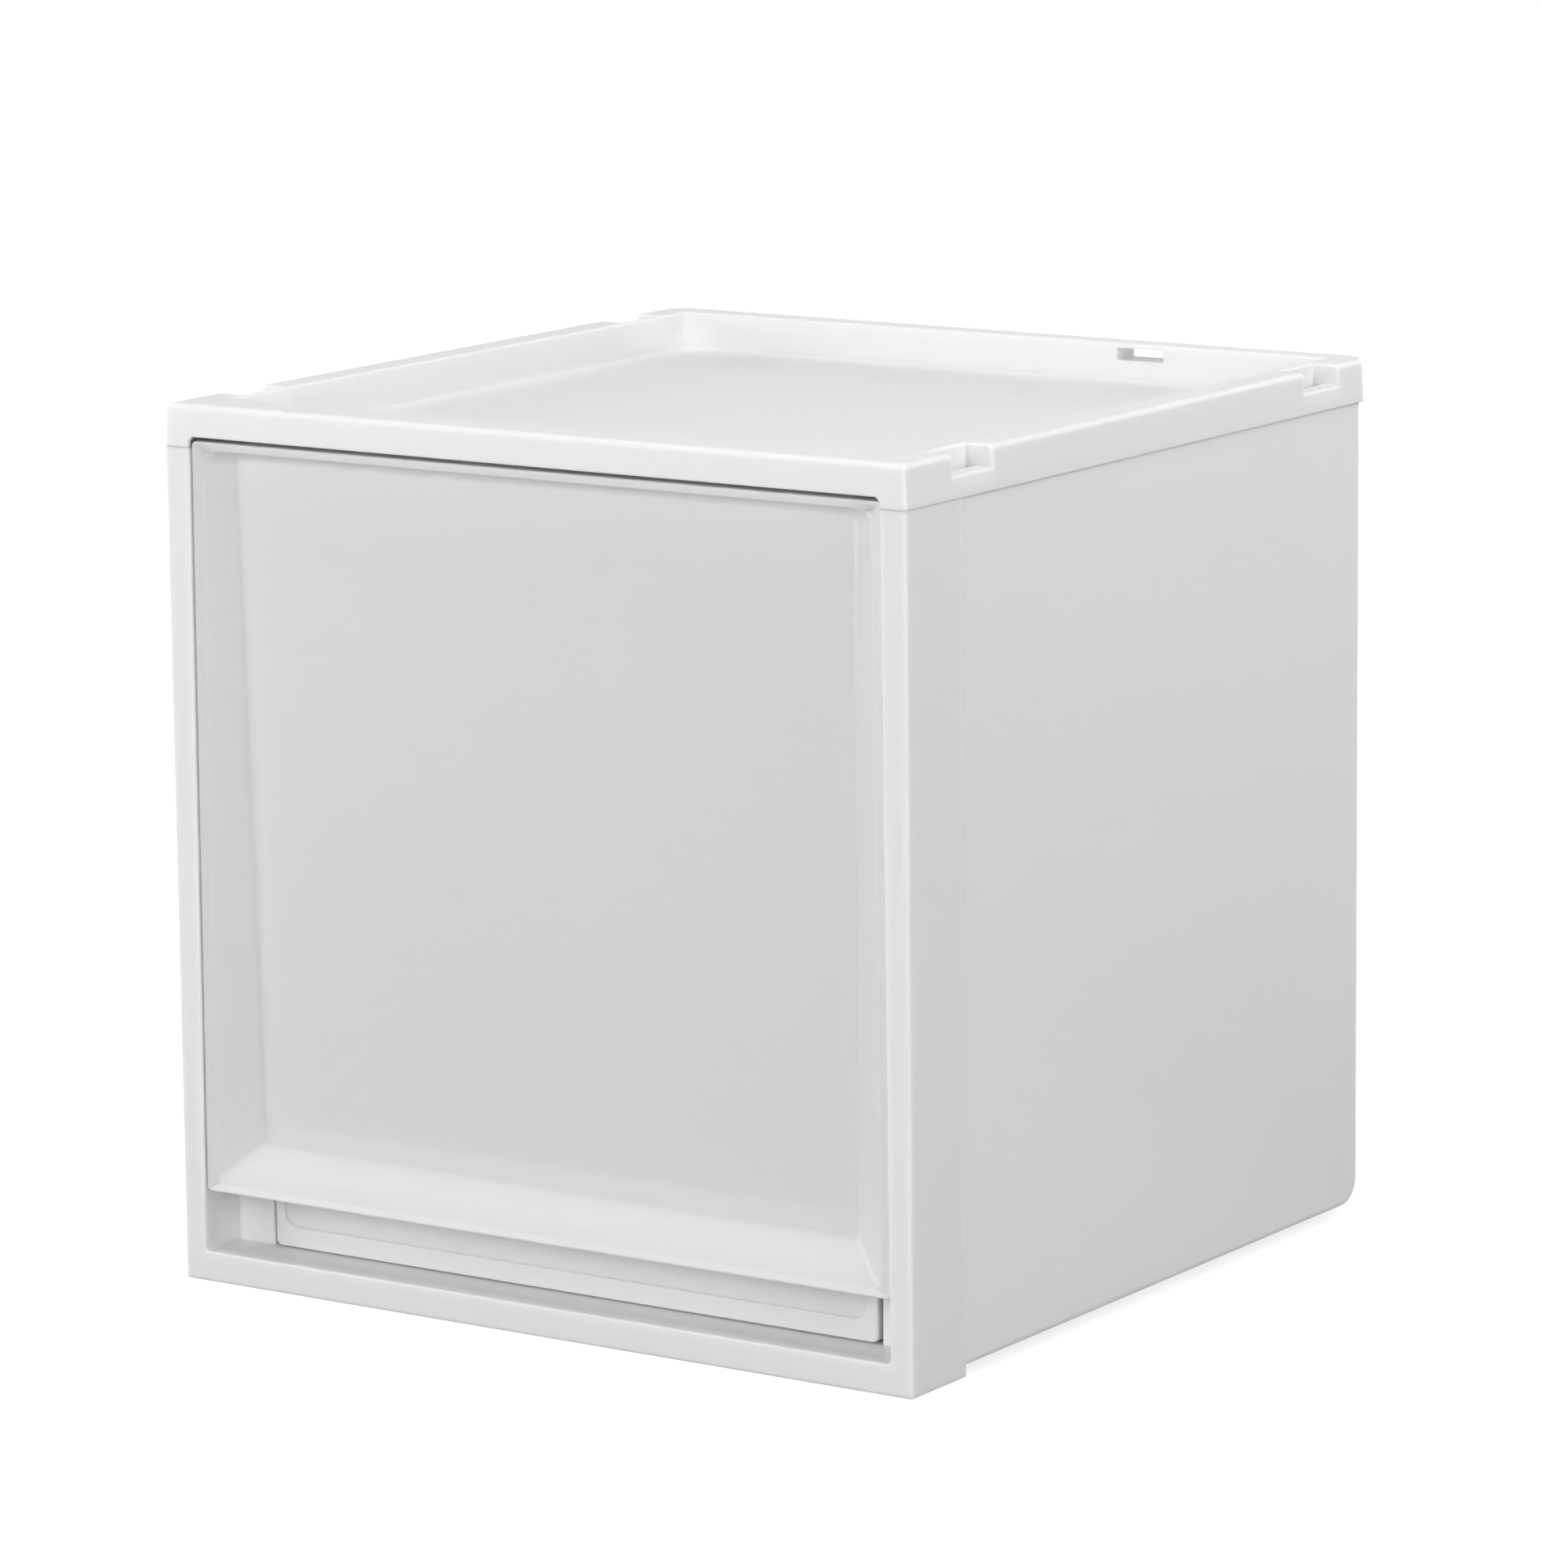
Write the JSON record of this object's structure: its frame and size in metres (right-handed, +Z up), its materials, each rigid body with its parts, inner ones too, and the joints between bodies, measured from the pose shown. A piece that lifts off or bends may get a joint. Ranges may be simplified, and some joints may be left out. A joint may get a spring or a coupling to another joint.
{
  "type": "storage box",
  "caption": "Stackable cube storage box with one pull-out drawer, a milky dished front and a shallow tray on top.",
  "frame": {"origin": "centre of the footprint, on the surface the box stands on", "axes": "+Z up, the drawer front faces -Y, +X to the right seen from the front"},
  "size_m": [0.372, 0.3794, 0.38],
  "materials": {
    "case_plastic": "satin moulded",
    "bin_plastic": "frosted, lets light through",
    "front_plastic": "milky, lets some light through"
  },
  "bodies": {
    "case": {"front_frame": "case_plastic", "body_shell": "case_plastic", "top_frame": "case_plastic", "left_runner": "case_plastic", "right_runner": "case_plastic"},
    "drawer": {"drawer_bin": "bin_plastic", "drawer_front": "front_plastic"}
  },
  "joints": [
    {"name": "drawer_slide", "type": "slide", "parent": "case", "child": "drawer", "axis": [0, -1, 0], "range_m": [0, 0.27]}
  ]
}
